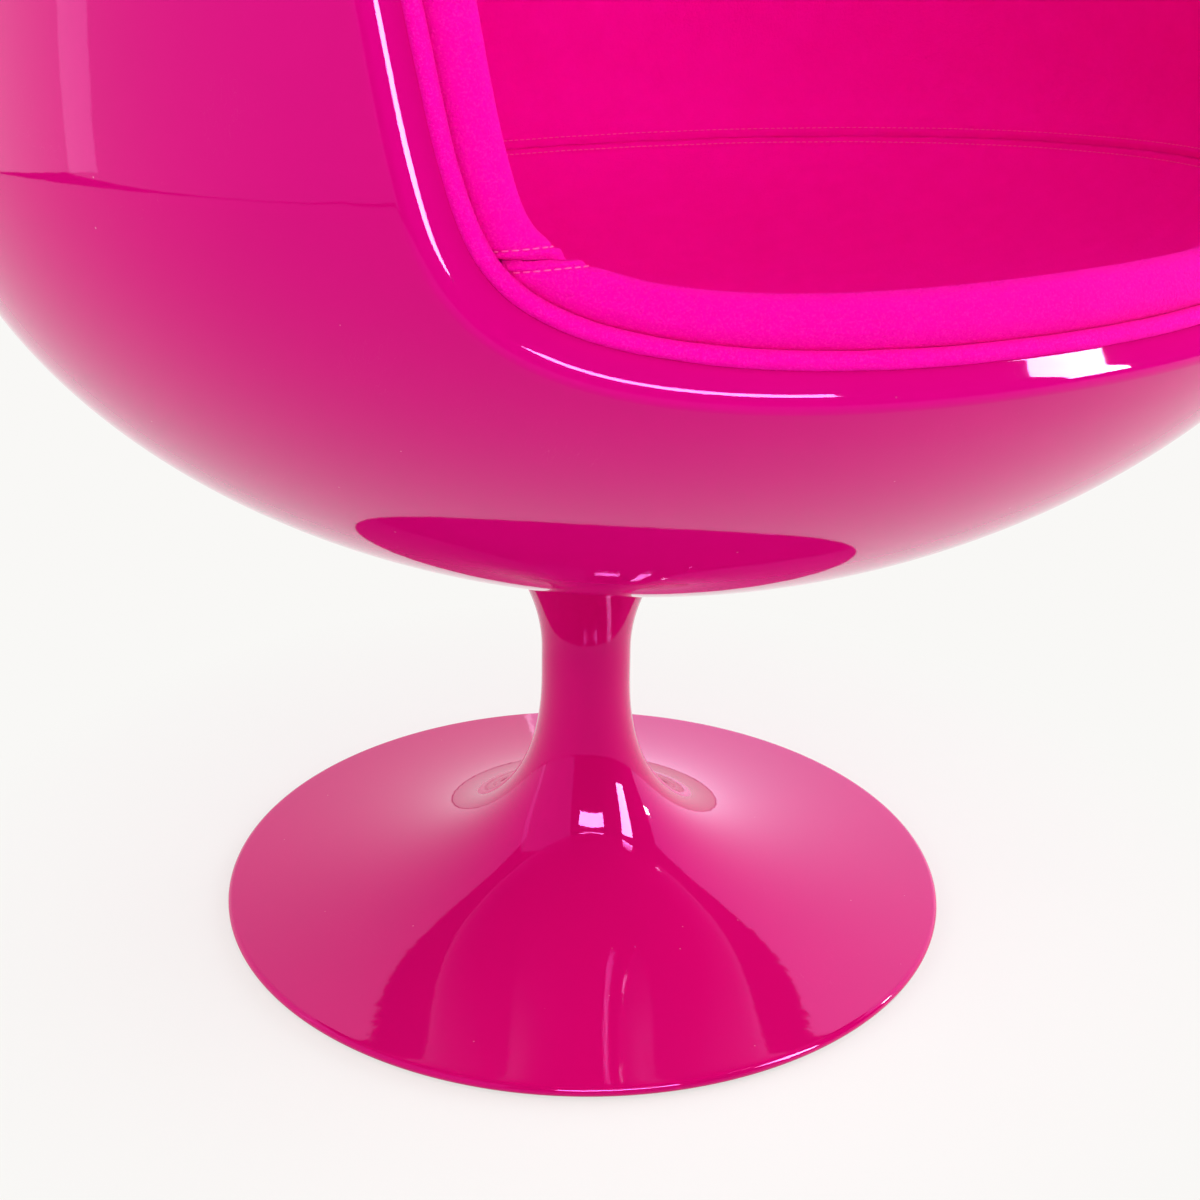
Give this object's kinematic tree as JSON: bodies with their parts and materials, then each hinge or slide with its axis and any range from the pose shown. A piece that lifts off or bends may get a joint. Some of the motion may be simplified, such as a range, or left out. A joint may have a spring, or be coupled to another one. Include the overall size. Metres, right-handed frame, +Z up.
{
  "type": "swivel lounge chair",
  "caption": "Egg-shaped swivel lounge chair: a moulded shell with a turned-in lip, an upholstered bowl inside, and a trumpet pedestal on a round foot.",
  "frame": {"origin": "on the floor, at the centre of the foot, under the swivel axis", "axes": "+Z up along the swivel axis; the chair's opening faces -Y; +X is to the sitter's left"},
  "size_m": [0.8298, 0.8074, 1.2708],
  "materials": {
    "lacquer": "high gloss lacquer over moulded glass-fibre",
    "pedestal_lacquer": "high gloss lacquer over cast aluminium",
    "wool_felt": "brushed wool felt over foam",
    "wool_piping": "piping covered in the same felt",
    "plywood": "raw birch plywood",
    "zinc_steel": "zinc plated",
    "turned_steel": "turned and greased",
    "bronze": "sintered bronze",
    "bush_plastic": "natural nylon",
    "ballast_iron": "rough cast",
    "cover_plastic": "matt sheet",
    "pad_rubber": "dense rubber"
  },
  "bodies": {
    "base": {"pedestal": "pedestal_lacquer", "lower_race": "bronze", "upper_bush": "bush_plastic", "lower_bush": "bush_plastic", "column_sleeve": "turned_steel", "ballast_ring": "ballast_iron", "base_cover": "cover_plastic", "base_pad": "pad_rubber"},
    "seat": {"outer_shell": "lacquer", "back_lining": "wool_felt", "seat_lining": "wool_felt", "rim_welt": "wool_piping", "seat_board": "plywood", "seat_riser": "plywood", "hub_plate": "zinc_steel", "hub_bolt_1": "zinc_steel", "hub_bolt_2": "zinc_steel", "hub_bolt_3": "zinc_steel", "hub_bolt_4": "zinc_steel", "hub_washer_1": "zinc_steel", "hub_washer_2": "zinc_steel", "hub_washer_3": "zinc_steel", "hub_washer_4": "zinc_steel", "spindle": "turned_steel", "upper_race": "turned_steel", "end_washer": "zinc_steel", "end_nut": "zinc_steel"}
  },
  "joints": [
    {"name": "seat_swivel", "type": "hinge", "parent": "base", "child": "seat", "pos_m": [0, 0, 0], "axis": [0, 0, 1], "continuous": true}
  ]
}
